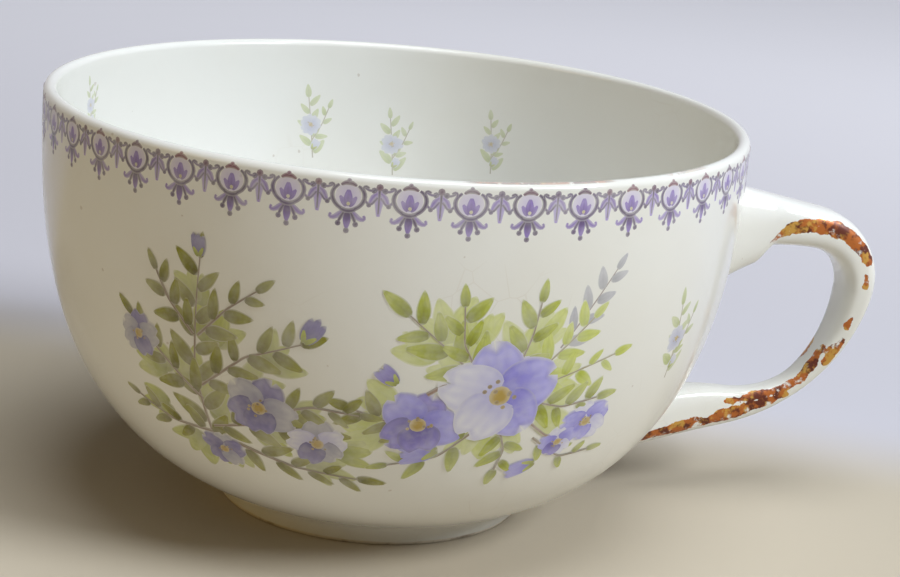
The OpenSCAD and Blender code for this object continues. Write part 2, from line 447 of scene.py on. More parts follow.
verts, faces = lathe(body_profile(), BODY_SEGMENTS)
body = new_piece("cup_body", verts, faces, body_material)
set_gilt(body, lip_gilt(verts))
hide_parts("bowl")

# Radius of the tread's corners, how far the sides stand out past it, and the fillet under the wall
TREAD_R, TREAD_OUT, FOOT_FILLET = 0.42, 0.45, 0.33
TREAD_TURNS = np.radians((12, 30, 50, 70))


def foot_profile():
    """Foot ring with a hollow outer side, a rounded tread and a small fillet under the wall."""
    mid = FOOT_R - FOOT_W / 2
    half = TREAD_W / 2
    out = []
    corner = [(half + TREAD_R * math.sin(a), TREAD_R - TREAD_R * math.cos(a)) for a in TREAD_TURNS]
    for t in np.linspace(0, 1, 12):
        fillet = FOOT_FILLET * (1 - t) ** 4
        out.append((mix(FOOT_R, mid + half + TREAD_OUT, t ** 0.8) + fillet, mix(FOOT_H, TREAD_R, t)))
    out += [(mid + r, z) for r, z in corner[::-1]]
    out += [(mid + x * half, 0.0) for x in (0.9, 0.45, 0, -0.45, -0.9)]
    out += [(mid - r, z) for r, z in corner]
    for t in np.linspace(0, 1, 8):
        out.append((mix(mid - half - TREAD_OUT, FOOT_R - FOOT_W, t), mix(TREAD_R, FOOT_H, t)))
    return out


verts, faces = lathe(foot_profile()[::-1], BODY_SEGMENTS)
foot = new_piece("foot", verts, faces, foot_material)
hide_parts("foot_ring")

# Handle: the same loop as the solid's, with more sections

AROUND = 88
# Points from which those round a section are taken, and the step of the search for the wall
SECTION_POINTS, REACH_STEP = 1441, 0.02
DIR_A = 90 - ARM_FALL
DIR_B = DIR_A - UPPER_TURN
DIR_C = DIR_B - LOWER_TURN


def polar(c, r, a, squash=1.0):
    """Points at a distance and directions in degrees from another one, maybe squashed in height."""
    a = np.radians(a)
    return np.stack([c[0] + r * np.cos(a), c[1] + squash * r * np.sin(a)], -1)


SIN_A, SIN_B, SIN_C = (math.sin(math.radians(a)) for a in (DIR_A, DIR_B, DIR_C))
UPPER_C = (RIM_R + REACH - UPPER_R, CUP_H - ARM_DROP - UPPER_R * SIN_A)
LOWER_R = (UPPER_C[1] + UPPER_R * SIN_B - LOW_Z) / (SIN_B - SIN_C)
LOWER_C = polar(UPPER_C, UPPER_R - LOWER_R, DIR_B)
ARM_OUT = polar(UPPER_C, UPPER_R, DIR_A)
LOW_OUT = polar(LOWER_C, LOWER_R, DIR_C)
slip_skin = Wall(RIM_R + SLIP_T, BELLY_D + SLIP_T, BELLY, SEAT_A, 1)


def reach_slip(start, heading):
    """Length from a point along a heading to the slip on the wall."""
    steps = np.arange(0, RIM_R, REACH_STEP)
    line = polar(start, steps, heading)
    return float(steps[np.argmax(line[:, 0] <= slip_skin.radius_at(line[:, 1]))])


ARM_LEN = reach_slip(ARM_OUT, DIR_A + 90)
LOW_LEN = reach_slip(LOW_OUT, DIR_C - 90)
UPPER_RUN = UPPER_R * math.radians(UPPER_TURN)
LOOP_RUN = UPPER_RUN + LOWER_R * math.radians(LOWER_TURN)


def knee(d):
    """Depth of the knee under the upper root at a distance from the wall."""
    slow = np.maximum(0, 1 - d / (KNEE_LEN - KNEE_NOSE))
    return KNEE_DROP * (NOSE_SHARE * smooth((KNEE_LEN - d) / KNEE_NOSE) + (1 - NOSE_SHARE) * slow)


def loop_section(s):
    """Thickness and width of the strap by the length from the start of the upper curve."""
    thin, waist = smooth((s - THIN_FROM) / THIN_LEN), smooth((s - WAIST_FROM) / WAIST_LEN)
    return mix(ARM_T, STRAP_T, thin), mix(STRAP_W, WAIST_W, waist)


def low_section(s, d):
    """The same in the loop's lower half, by that length and the distance left to the wall."""
    thick, wide = loop_section(s)
    swell = smooth((SWELL_LEN - d) / (SWELL_LEN - SWELL_FULL))
    growth = np.maximum(0, 1 - d / ROOT_LEN) ** 1.5
    return mix(thick, ROOT_T, swell), mix(wide, ROOT_W, growth)


def section_unit():
    """Points evenly round a squared oval with sides of 1."""
    a = np.linspace(0, 2 * np.pi, SECTION_POINTS)
    u = np.sign(np.cos(a)) * np.abs(np.cos(a)) ** (2 / STRAP_SQUARE)
    v = np.sign(np.sin(a)) * np.abs(np.sin(a)) ** (2 / STRAP_SQUARE)
    run = np.concatenate([[0], np.cumsum(np.hypot(np.diff(u), np.diff(v)))])
    at = np.linspace(0, run[-1], AROUND + 1)[:-1]
    return np.interp(at, run, u), np.interp(at, run, v)


SECTION_U, SECTION_V = section_unit()


def rings(p, a, t, w):
    """Rings [k, j, xyz] round stations: outer points, directions, thicknesses and widths."""
    a = np.radians(np.broadcast_to(a, t.shape))
    half = 0.5 * t[:, None] * np.stack([np.cos(a), np.sin(a)], -1)
    m = (p - half)[:, None] + SECTION_U[None, :, None] * half[:, None]
    y = SECTION_V[None] * w[:, None] / 2
    return np.stack([m[..., 0], y, m[..., 1]], -1)


def upper_rings(d):
    """Rings of the upper arm at distances from the wall."""
    wide = STRAP_W + 2 * TOP_FLARE * np.maximum(0, 1 - d / KNEE_LEN) ** 2
    lean = DIR_A + ROOT_LEAN * np.maximum(0, 1 - d / KNEE_LEN)
    thick = ARM_T + ARM_GROWTH * np.maximum(0, 1 - d / ARM_LEN) ** 1.5 + knee(d)
    return rings(polar(ARM_OUT, ARM_LEN - d, DIR_A + 90), lean, thick, wide)


def lower_rings(d):
    """Rings of the lower arm at distances from the wall."""
    line = polar(LOW_OUT, LOW_LEN - d, DIR_C - 90)
    return rings(line, DIR_C, *low_section(LOOP_RUN + LOW_LEN - d, d))


def sample(lines, d, at):
    """Points of lines[k, j] at one distance for each line."""
    return np.stack([[np.interp(at[j], d, lines[:, j, c]) for c in range(3)] for j in range(AROUND)])


# Length of the upper root, depth of both roots in the wall, and the steps from inside it along them
ROOT_SPAN, SINK = 11.0, 0.5
LINE_START, LINE_STEP, LINE_END = -9, 0.05, 0.01


def follow(rings_at, end):
    """Lines along a root from inside the wall, their stations, and where each line leaves the wall."""
    d = np.arange(LINE_START, end + LINE_END, LINE_STEP)
    lines = rings_at(d)
    out = np.hypot(lines[..., 0], lines[..., 1]) - outside.radius_at(lines[..., 2])
    hit = np.empty(AROUND)
    for j in range(AROUND):
        k = np.max(np.nonzero(out[:, j] <= 0)[0])
        f = out[k, j] / (out[k, j] - out[k + 1, j])
        hit[j] = mix(d[k], d[k + 1], f)
    return lines, d, hit


upper_root, lower_root = follow(upper_rings, ROOT_SPAN), follow(lower_rings, LOW_LEN)
# Sections in the upper root, the upper arm, the two curves and the lower arm
TOP_ROWS, ARM_ROWS, UPPER_ROWS, LOWER_ROWS, LOW_ROWS = 46, 14, 54, 70, 50


def strap_grid():
    """All rings of the strap, from its upper root in the wall to its lower one."""
    *lines, hit = upper_root
    ends = [mix(hit - SINK, ROOT_SPAN, f) for f in np.linspace(0, 1, TOP_ROWS)]
    top = np.array([sample(*lines, at) for at in ends])
    arm = upper_rings(np.linspace(ROOT_SPAN, ARM_LEN, ARM_ROWS)[1:])
    a = np.linspace(DIR_A, DIR_B, UPPER_ROWS)[1:]
    s = UPPER_R * np.radians(DIR_A - a)
    upper = rings(polar(UPPER_C, UPPER_R, a), a, *loop_section(s))
    a = np.linspace(DIR_B, DIR_C, LOWER_ROWS)[1:]
    s = UPPER_RUN + LOWER_R * np.radians(DIR_B - a)
    lower = rings(polar(LOWER_C, LOWER_R, a), a, *low_section(s, LOW_LEN + LOOP_RUN - s))
    *lines, hit = lower_root
    ends = [mix(LOW_LEN, hit - SINK, f) for f in np.linspace(0, 1, LOW_ROWS)[1:]]
    low = np.array([sample(*lines, at) for at in ends])
    return np.concatenate([top, arm, upper, lower, low])


strap = strap_grid()

# Worn gilding on the strap: half-widths in millimetres, and points by the share of the loop's length and
# the place round the section, which is 0 mid-way on the outer face and 0.5 on the inner one
GILT_STROKES = (
    ((0.5, 0.85, 1, 1, 1, 0.85),
     ((0.125, 0.672), (0.145, 0.72), (0.17, 0.77), (0.215, 0.785), (0.262, 0.788), (0.318, 0.8))),
    ((0.35, 0.4), ((0.352, 0.77), (0.367, 0.75))),
    ((0.3, 0.45), ((0.44, 0.728), (0.455, 0.728))),
    ((0.5, 0.75, 0.5), ((0.485, 0.75), (0.51, 0.735), (0.535, 0.75))),
    ((0.6, 0.8, 0.65, 0.6), ((0.52, 0.61), (0.545, 0.635), (0.571, 0.673), (0.60, 0.707))),
    ((0.55, 0.55, 0.55, 0.3), ((0.60, 0.707), (0.63, 0.69), (0.675, 0.66), (0.75, 0.685))),
    ((0.45, 0.55, 0.8, 0.85), ((0.63, 0.775), (0.665, 0.765), (0.705, 0.775), (0.768, 0.82))),
    ((0.6, 0.95, 1.05, 0.8), ((0.778, 0.83), (0.82, 0.825), (0.86, 0.82), (0.915, 0.82))),
)
# Widening and soft edge of all strokes, the steps in which they are laid and how far each can reach
GILT_WIDTH, GILT_SOFT, GILT_STEP, GILT_NEAR = 1.12, 1.0, 0.002, 2.0
# A stroke's path is averaged over these shares of the run, which rounds its bends
GILT_ROUND = np.linspace(-0.022, 0.022, 9)


def gilt_cover(grid):
    """Cover of the gilding at each point of the strap, on both of its sides."""
    run = run_along(grid.mean(1))
    edge = np.linalg.norm(np.diff(grid, axis=1, append=grid[:, :1]), axis=2)
    around = np.cumsum(edge, 1) - edge
    girth = edge.sum(1)
    cover = np.zeros(grid.shape[:2])
    for halves, stroke in GILT_STROKES:
        at = np.array(stroke)
        share = np.arange(at[0, 0], at[-1, 0] + GILT_STEP, GILT_STEP)
        place = np.interp(share[:, None] + GILT_ROUND, at[:, 0], at[:, 1]).mean(1)
        half = GILT_WIDTH * np.interp(share, np.linspace(at[0, 0], at[-1, 0], len(halves)), halves)
        for side in (place, 1 - place):
            for s, v, h in zip(share * run[-1], side, half):
                rows = np.nonzero(np.abs(run - s) < GILT_NEAR)[0]
                gap = np.abs(around[rows] - v * girth[rows, None])
                gap = np.minimum(gap, girth[rows, None] - gap)
                inside_by = h - np.hypot(run[rows, None] - s, gap)
                cover[rows] = np.maximum(cover[rows], 1 - smooth((GILT_SOFT / 2 - inside_by) / GILT_SOFT))
    return cover


verts, faces = tube(strap)
handle = new_piece("handle_strap", verts, faces, strap_material)
set_gilt(handle, np.concatenate([gilt_cover(strap).ravel(), [0, 0]]))
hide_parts("handle")

# Slip at the roots: lift of its toe off the wall, depth of its hidden side and how far that draws in
TOE_LIFT, SLIP_SINK, SINK_DRAW, TOP_DRAW = 0.015, 0.4, 0.08, 0.05
SLIP_ROWS = 10


def root_fillet(lines, d, hit, spread, climb):
    """Ring of slip in the corner between a root and the wall: hollow outside, sunk inside."""
    corner = sample(lines, d, hit)
    top = sample(lines, d, hit + climb)
    theta = np.arctan2(corner[:, 1], corner[:, 0])
    s = outside.along(corner[:, 2])
    across = theta * outside.radius(s)
    out = np.stack([across - across.mean(), s - s.mean()], -1)
    # direction away from the root's outline on the wall
    ahead = np.roll(out, -1, 0) - np.roll(out, 1, 0)
    normal = np.stack([ahead[:, 1], -ahead[:, 0]], -1)
    normal /= np.linalg.norm(normal, axis=1, keepdims=True)
    normal *= np.sign((normal * out).sum(1).mean())
    foot_s = s + spread * normal[:, 1]
    foot_theta = theta + spread * normal[:, 0] / outside.radius(foot_s)
    toe = outside.place(foot_theta, foot_s, TOE_LIFT)
    sink = outside.place(theta, s, -SLIP_SINK)
    sink = mix(sink, sink.mean(0), SINK_DRAW)
    t = np.linspace(0, 1, SLIP_ROWS)[:, None, None]
    curve = (1 - t) ** 2 * toe + 2 * t * (1 - t) * corner + t ** 2 * top
    loops = np.concatenate([curve, [mix(top, corner.mean(0), TOP_DRAW), sink]])
    return loops.reshape(-1, 3), ring_faces(*loops.shape[:2], True)


# Spread of each fillet over the wall and its climb up the root, in millimetres
for name, node, root, spread, climb in (
    ("upper_root_slip", "upper_joint", upper_root, 1.7, 2.2),
    ("lower_root_slip", "lower_joint", lower_root, 1.5, 2.4),
):
    verts, faces = root_fillet(*root, spread, climb)
    slip = new_piece(name, verts, faces, plain_material)
    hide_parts(node)

# Painted films

# Height of the lowest patch above the wall, of each one above the last, and depth of its edges in the wall
FILM_LIFT, FILM_STEP, FILM_SINK = 0.014, 0.0012, 0.01


class Film:
    """Thin closed patches of paint on one wall, gathered into one piece."""

    def __init__(self, wall, flip=1, strength=1.0):
        self.wall, self.flip, self.strength = wall, flip, strength
        self.verts, self.faces, self.paint, self.normals = [], [], [], []
        self.count = 0

    def patch(self, at, x, y, colour, cover):
        """A grid of paint: x to the right and y up, in millimetres from a place on the wall."""
        s = at[1] - y
        radius = self.wall.radius(np.clip(s, self.wall.s[0], self.wall.s[-1]))
        theta = math.radians(at[0]) + self.flip * x / radius
        n, m = x.shape
        inner = np.zeros((n, m), bool)
        inner[1:-1, 1:-1] = True
        lift = FILM_LIFT + FILM_STEP * self.count
        self.count += 1
        top = self.wall.place(theta, s, np.where(inner, lift, -FILM_SINK))
        under = self.wall.place(theta, s, -2 * FILM_SINK)
        index_top = len(self.verts) + np.arange(n * m).reshape(n, m)
        index_under = index_top.copy()
        index_under[inner] = len(self.verts) + n * m + np.arange(inner.sum())
        normals = self.wall.normal(theta, s)
        cover = self.strength * np.broadcast_to(cover, (n, m))
        rgba = np.concatenate([np.broadcast_to(colour, (n, m, 3)), cover[..., None]], -1)
        for store, above, below in ((self.verts, top, under), (self.normals, normals, -normals),
                                    (self.paint, rgba, rgba)):
            store.extend(above.reshape(n * m, -1))
            store.extend(below[inner])
        for index, way in ((index_top, 1), (index_under, -1)):
            corners = (index[:-1, :-1], index[1:, :-1], index[1:, 1:], index[:-1, 1:])
            self.faces.extend(np.stack(corners[::way], -1).reshape(-1, 4).tolist())

    def piece(self, name):
        """The mesh piece of all patches, shaded as smoothly as the wall under them."""
        made = new_piece(name, self.verts, self.faces, enamel_material)
        set_colours(made, "paint", self.paint)
        made.data.normals_split_custom_set_from_vertices(np.asarray(self.normals).tolist())


def srgb(r, g, b):
    """Linear colour from the 0 to 255 values seen in a picture."""
    c = np.array([r, g, b]) / 255
    return np.where(c <= 0.04045, c / 12.92, ((c + 0.055) / 1.055) ** 2.4)


def shades(*rows):
    """Some colours, for a petal or a leaf those of its base, its tip and its veins."""
    return tuple(srgb(*row) for row in rows)


# Longest step along a brush line, and the places across it
RIBBON_STEP = 0.35
RIBBON_ACROSS = np.array([-1, -0.8, 0, 0.8, 1])


def ribbon(film, at, path, width, colour, cover=1.0):
    """A brush line through points, with a width or widths in millimetres."""
    path = np.asarray(path, float)
    run = run_along(path)
    count = max(5, int(run[-1] / RIBBON_STEP) + 2)
    at_run = np.linspace(0, run[-1], count)
    line = np.stack([np.interp(at_run, run, path[:, k]) for k in (0, 1)], -1)
    if len(path) > 2:
        for _ in range(3):
            line[1:-1] = 0.25 * line[:-2] + 0.5 * line[1:-1] + 0.25 * line[2:]
    w = np.interp(np.linspace(0, 1, count), np.linspace(0, 1, np.size(width)), np.atleast_1d(width))
    along = np.gradient(line, axis=0)
    along /= np.linalg.norm(along, axis=1, keepdims=True) + 1e-9
    side = np.stack([-along[:, 1], along[:, 0]], -1)
    v = RIBBON_ACROSS
    x, y = (line[:, c, None] + side[:, c, None] * v * w[:, None] / 2 for c in (0, 1))
    film.patch(at, x, y, colour, (1 - 0.5 * smooth((np.abs(v) - 0.4) / 0.6)) * cover)


# Steps along and across a petal or a leaf, in millimetres, and the least count of points
BLADE_STEP, BLADE_ACROSS, BLADE_LEAST = 0.4, 0.7, 9


def blade(film, at, base, heading, length, width, colours,
          bend=0.0, cover=1.0, point=1.0, vein=0.0, notch=0.0):
    """A petal or a leaf: from its base along a heading in degrees, widest past its middle."""
    rows = max(BLADE_LEAST, int(length / BLADE_STEP))
    columns = max(BLADE_LEAST, 2 * int(width / BLADE_ACROSS) + 1)
    u = np.linspace(0, 1, rows)[:, None]
    v = np.linspace(-1, 1, columns)[None]
    wide = width / 2 * np.sin(np.pi * u ** 0.75) ** (0.75 * point) + 0.03
    forward = length * (u - notch * (1 - np.abs(v)) * smooth((u - 0.55) / 0.45))
    sideways = wide * v + bend * length * (u ** 2)
    a = math.radians(heading)
    x = base[0] + forward * math.cos(a) - sideways * math.sin(a)
    y = base[1] + forward * math.sin(a) + sideways * math.cos(a)
    near, far, line = colours
    tone = mix(near, far, smooth((u + 0.1 * np.cos(9 * v)) / 0.9)[..., None])
    if vein:
        rib = np.exp(-((v / 0.16) ** 2)) * (1 - 0.6 * u)
        ribs = 0.5 + 0.5 * np.cos(12 * np.abs(v) - 16 * u)
        tone = mix(tone, line, (vein * np.maximum(rib, 0.35 * ribs * (np.abs(v) > 0.2)))[..., None])
    rim = np.maximum(np.abs(v), np.abs(2 * u - 1))
    edge = smooth((rim - 0.62) / 0.3) * (1 - smooth((rim - 0.9) / 0.1))
    tone = mix(tone, line, (0.35 * edge)[..., None])
    soft = 1 - 0.85 * smooth((rim - 0.84) / 0.16)
    film.patch(at, x, y, tone, cover * soft)


# Places across a dab of paint, and the radius under which the coarse ones will do
FINE_DAB = np.array([-1, -0.85, -0.45, 0, 0.45, 0.85, 1])
COARSE_DAB, COARSE_DAB_R = np.array([-1, -0.75, 0, 0.75, 1]), 0.5


def dot(film, at, centre, radius, colour, cover=1.0):
    """A round dab of paint."""
    q = COARSE_DAB if radius < COARSE_DAB_R else FINE_DAB
    gx, gy = np.meshgrid(q, q, indexing="ij")
    far = np.maximum(np.abs(gx), np.abs(gy))
    scale = radius * far / np.maximum(np.hypot(gx, gy), 1e-6)
    soft = 1 - 0.4 * smooth((far - 0.5) / 0.5)
    film.patch(at, centre[0] + scale * gx, centre[1] + scale * gy, colour, cover * soft)


# Lace border under the lip

LILAC, LILAC_PALE = shades((150, 126, 204), (196, 184, 226))
PLUM, PLUM_RED = shades((68, 42, 88), (122, 40, 66))
OCHRE = srgb(176, 160, 60)
MOTIFS, BORDER_SEED = 42, 7
BORDER_TOP, BORDER_TURN = 0.0, -5.2
PERIOD = 2 * math.pi * RIM_R / MOTIFS
# Right halves of a medallion's curves: the vase, the scroll under it and the thread between
VASE = ((1.05, -0.35), (1.75, -0.8), (2.0, -1.7), (1.55, -2.65), (0.75, -3.25), (0, -3.35))
SCROLL = ((0.3, -3.35), (0.95, -3.85), (1.6, -4.45), (2.15, -4.4), (2.2, -3.95), (1.85, -3.8))
THREAD = ((0.25, -3.4), (0.75, -4.1), (1.0, -4.85))
# Bar under the vase
BAR = ((-1.0, -3.1), (-0.45, -3.45), (0.45, -3.45), (1.0, -3.1))


def big_motif(film, at, rng):
    """A bud in a vase of two scrolls, with a cap above and a palmette that hangs below."""
    dark = mix(PLUM, LILAC, rng.uniform(0.0, 0.15))
    mid = mix(LILAC, PLUM, rng.uniform(0.15, 0.4))
    bud_tones = (mix(LILAC, PLUM, 0.35), LILAC, dark)
    dot(film, at, (0, -1.7), 1.6, LILAC_PALE, 0.7)
    for e in (-1, 1):
        vase, scroll, thread = (np.multiply(curve, (e, 1)) for curve in (VASE, SCROLL, THREAD))
        ribbon(film, at, vase, (0.36, 0.6, 0.55, 0.5), dark, 0.95)
        curl = polar((e * 1.95, -0.6), 0.42, np.linspace(90 - e * 90, 90 + e * 170, 8))
        ribbon(film, at, curl, 0.34, dark, 0.9)
        blade(film, at, (0, -2.95), 90 - e * 44, 1.75, 0.8, bud_tones, e * 0.12, 0.9, 1.1, 0.4)
        ribbon(film, at, scroll, (0.55, 0.7, 0.5, 0.34), mid, 0.95)
        ribbon(film, at, thread, (0.4, 0.55, 0.3), dark, 0.95)
        dot(film, at, (e * 1.02, -4.95), 0.36, dark, 0.95)
    blade(film, at, (0, -3.05), 90, 2.35, 1.25, bud_tones, 0, 0.95, 1.0, 0.5)
    dot(film, at, (0.05, -2.55), 0.3, OCHRE, rng.uniform(0.4, 0.85))
    cap = mix(PLUM, PLUM_RED, rng.uniform(0.2, 1.0))
    bow = polar((0, -0.55), 0.95, np.linspace(10, 170, 9), 0.55)
    ribbon(film, at, bow, (0.35, 0.7, 0.35), cap, 0.95)
    dot(film, at, (0, 0.15), 0.3, cap, 0.9)
    ribbon(film, at, BAR, (0.4, 0.75, 0.4), dark, 0.95)
    blade(film, at, (0, -3.4), 270, 2.3, 1.0, (dark, LILAC, dark), 0, 0.95, 1.0, 0.6)
    dot(film, at, (0, -5.75), 0.36, dark, 0.95)


def small_motif(film, at, rng):
    """Drop with a cap of three dots and two leaflets between the medallions."""
    dark = mix(PLUM, LILAC, rng.uniform(0.0, 0.15))
    mid = mix(LILAC, PLUM, rng.uniform(0.1, 0.4))
    ribbon(film, at, [(0, -0.6), (0, -2.0), (0, -3.9)], (0.6, 1.05, 0.4), LILAC, 0.95)
    ribbon(film, at, [(0, -0.5), (0, -3.8)], (0.42, 0.2), dark, 0.9)
    for e in (-1, 1):
        ribbon(film, at, [(0, -0.9), (e * 0.75, -1.4), (e * 1.1, -2.4)], (0.32, 0.66, 0.42), mid, 0.95)
        dot(film, at, (e * 0.62, -0.75), 0.4, dark, 0.9)
        dot(film, at, (e * 1.14, -2.5), 0.32, dark, 0.9)
    dot(film, at, (0, -0.35), 0.46, mix(dark, PLUM_RED, rng.uniform(0, 0.6)), 0.95)


def swag(film, at, rng):
    """Two threads from a medallion to the drop beside it."""
    half = PERIOD / 2
    tone = mix(PLUM, LILAC, rng.uniform(0.1, 0.35))
    for e in (-1, 1):
        low = [(e * 1.9, -1.9), (e * (half - 1.1), -2.7), (e * (half - 0.5), -2.0), (e * half, -1.3)]
        ribbon(film, at, low, 0.36, tone, 0.9)
        ribbon(film, at, [(e * 1.6, -0.3), (e * 2.5, -0.95), (e * half, -0.5)], 0.34, tone, 0.9)


def lace_border():
    """Medallions all round under the lip, with a drop between each two."""
    rng = np.random.default_rng(BORDER_SEED)
    film = Film(outside)
    for k in range(MOTIFS):
        film.count = 0
        theta = 360 * k / MOTIFS + BORDER_TURN
        swag(film, (theta, BORDER_TOP), rng)
        big_motif(film, (theta, BORDER_TOP), rng)
        film.count = 0
        small_motif(film, (theta + 180 / MOTIFS, BORDER_TOP), rng)
    film.piece("lace_border")


lace_border()

# Flower sprays

BLUE = shades((120, 112, 215), (176, 172, 240), (92, 84, 190))
BLUE_PALE = shades((190, 188, 228), (226, 226, 238), (150, 146, 214))
BLUE_FAINT = shades((176, 178, 206), (206, 208, 222), (158, 162, 190))
VIOLET = shades((92, 78, 170), (150, 140, 222), (70, 54, 128))
LEAF = shades((138, 146, 16), (190, 200, 56), (98, 100, 12))
LEAF_PALE = shades((180, 192, 60), (208, 216, 110), (150, 160, 36))
# A darker leaf green, partly the painting's own darker leaves and partly painted shade: for the sprigs of
# the tall bunch on the shaded side and the large bunch's leftmost sprig
LEAF_DARK_AND_PAINTED_SHADE = shades((108, 108, 12), (158, 160, 34), (84, 66, 14))
STEM = srgb(122, 74, 34)
STAMEN, STAMEN_DARK = shades((176, 146, 50), (110, 78, 30))
SHADE = shades((166, 166, 172), (196, 196, 204), (140, 140, 152))
# Darker, greyer copies of the blue and violet: painted shade, for the tall bunch on the cup's shaded side
# and its copy on the back
PAINTED_SHADE_VIOLET = shades((96, 88, 150), (142, 136, 190), (72, 60, 112))
PAINTED_SHADE_VIOLET_PALE = shades((150, 148, 176), (190, 190, 200), (118, 112, 156))
FAINT = shades((176, 188, 120), (204, 212, 160), (150, 158, 110))

# Levels that the middle of a flower, and then its stamens, stand above what is under them
CENTRE_LEVELS = 4
PETALS, STAMENS = 5, 9


def flower(film, at, size, turn, tones, rng, lean=0.85):
    """An open flower: broad notched petals, back ones first, and a ring of stamens."""
    for k in sorted(range(PETALS), key=lambda k: -math.sin(math.radians(turn + 360 * k / PETALS))):
        heading = turn + 360 * k / PETALS + rng.uniform(-7, 7)
        length = size / 2 * rng.uniform(0.9, 1.08)
        squash = mix(lean, 1.0, abs(math.cos(math.radians(heading))))
        tone = tones[k % len(tones)]
        blade(film, at, (0, 0), heading, length * squash, size * 0.52 * rng.uniform(0.9, 1.05), tone,
              rng.uniform(-0.05, 0.05), 0.95, 0.62, 0.4, 0.16)
    film.count += CENTRE_LEVELS
    dot(film, at, (0, 0), size * 0.105, STAMEN, 0.95)
    level = film.count + CENTRE_LEVELS
    for _ in range(STAMENS):
        film.count = level
        a = rng.uniform(0, 2 * math.pi)
        r = size * rng.uniform(0.06, 0.15)
        tone = mix(STAMEN, STAMEN_DARK, rng.uniform(0, 1))
        dot(film, at, (r * math.cos(a), r * lean * math.sin(a)), size * 0.026, tone, 0.95)


def sprig(film, at, path, leaf, count, tones, rng, stem):
    """A stem with leaflets on both sides."""
    path = np.asarray(path, float)
    ribbon(film, at, path, (stem, 0.18), mix(STEM, tones[2], 0.4), 0.85)
    run = run_along(path)

    def on_stem(f):
        return [np.interp(f * run[-1], run, path[:, c]) for c in (0, 1)]

    for k in range(count):
        f = (k + 0.7) / count
        p, q, o = (on_stem(v) for v in (f, f + 0.05, f - 0.05))
        ahead = math.degrees(math.atan2(q[1] - o[1], q[0] - o[0]))
        side = 0 if k == count - 1 else (1 if k % 2 else -1)
        length = leaf * (1.15 - 0.35 * f) * rng.uniform(0.85, 1.15)
        heading = ahead + side * rng.uniform(38, 58)
        blade(film, at, p, heading, length, length * rng.uniform(0.38, 0.48), tones,
              side * rng.uniform(-0.12, 0.05), rng.uniform(0.82, 1.0), 1.15, 0.6)


def bud(film, at, length, heading, tones, rng, base=(0, 0)):
    """A closed bud on its calyx."""
    for turn in (-16, 14, 0):
        petal = length * rng.uniform(0.85, 1.0)
        blade(film, at, base, heading + turn, petal, length * 0.42, tones, 0, 0.9, 0.9, 0.35)
    for turn in (-30, 28):
        blade(film, at, base, heading + turn, length * 0.5, length * 0.2, LEAF, 0, 0.9, 1.2, 0.4)


def leaf_bed(film, at, spots, tones, rng):
    """Broad pale leaves behind a bunch, three at each spot (x, y, heading, length)."""
    for x, y, heading, length in spots:
        for turn in (-34, 30, -2):
            long = length * rng.uniform(0.8, 1.1)
            base = x + rng.uniform(-0.4, 0.4), y + rng.uniform(-0.4, 0.4)
            way = heading + turn + rng.uniform(-8, 8)
            blade(film, at, base, way, long, long * rng.uniform(0.48, 0.6), tones,
                  rng.uniform(-0.12, 0.12), rng.uniform(0.62, 0.85), 1.0, 0.5)


def moved(at, x, y):
    """Place on the outside that lies x to the right of another and y above it."""
    s = at[1] - y
    return at[0] + math.degrees(x / outside.radius(s)), s


# Leaves behind the large bunch: x, y, heading, length. Its sprigs: three points, leaf length, count
MAIN_BED = (
    (-4, 2, 135, 7.5), (-8, 5, 150, 6.5), (-7, 7, 110, 6), (-4, 7, 85, 5.5), (2, 5, 80, 6), (4, 7, 55, 5),
    (5, 1, 25, 6), (6, -3, -10, 6.5), (-12, -2, 175, 6.5), (-13, -6, 200, 6), (-2, -5, 260, 5.5),
    (2, -5, 290, 5),
)
MAIN_SPRIGS = (
    ((-2.5, 1.5), (-6.5, 5.5), (-12.5, 10.5), 5.4, 8), ((-3, 2.5), (-5.5, 7), (-6, 12), 4.6, 6),
    ((1.5, 3), (3, 8), (3.6, 12.5), 4.2, 6), ((4, -1), (9, -2.4), (14.5, -1.6), 4.4, 7),
    ((-6, -4), (-12, -4.5), (-18, -2.6), 4.8, 7), ((-2, -5), (-6, -9.6), (-12, -11.5), 4.2, 6),
    ((1, -5), (2.4, -8.6), (2, -12.5), 3.8, 5), ((6, -7), (11, -11), (16, -10.5), 3.4, 5),
)
MAIN_PALE = (((3.5, 2), (8, 6.5), (11.5, 10), 4.2, 7), ((5, 1), (11, 3), (16, 4.5), 3.6, 6))
# Grey sprig behind the bunch, with its own draws
SHADE_SPRIG = ((7, 6), (10.5, 11), (14, 16))
SHADE_SEED = 5
# Stems of its flowers: three points, width and cover
MAIN_STEMS = (
    ((-11.5, -2), (-7, 1.5), (-2, 0), 0.6, 0.95), ((-8, -1.2), (-4.5, -0.8), (-0.5, -0.5), 0.5, 0.95),
    ((2, -2), (8, -7), (13, -6), 0.4, 0.85),
)
# Its buds and flowers: x, y, size, turn, tones and for a flower how little it leans
MAIN_HEADS = (
    (bud, -6, -8.4, 5.6, 195, BLUE), (bud, -12.6, 1.2, 3.6, 140, VIOLET),
    (flower, -9.3, -4.4, 11.5, 70, (VIOLET, BLUE, VIOLET)), (bud, 7.6, -11.4, 4.6, 205, BLUE),
    (flower, 13.4, -5.2, 8.2, 40, (BLUE, BLUE_PALE, BLUE)),
    (flower, 9.8, -8, 6.4, 100, (BLUE_PALE, BLUE, VIOLET)),
    (flower, 0, 0, 15.4, 98, (BLUE, BLUE_PALE, BLUE_PALE, BLUE, BLUE), 0.95),
)


def heads(film, at, spots, rng):
    """Buds and flowers of a bunch."""
    for draw, x, y, size, turn, tones, *lean in spots:
        draw(film, moved(at, x, y), size, turn, tones, rng, *lean)


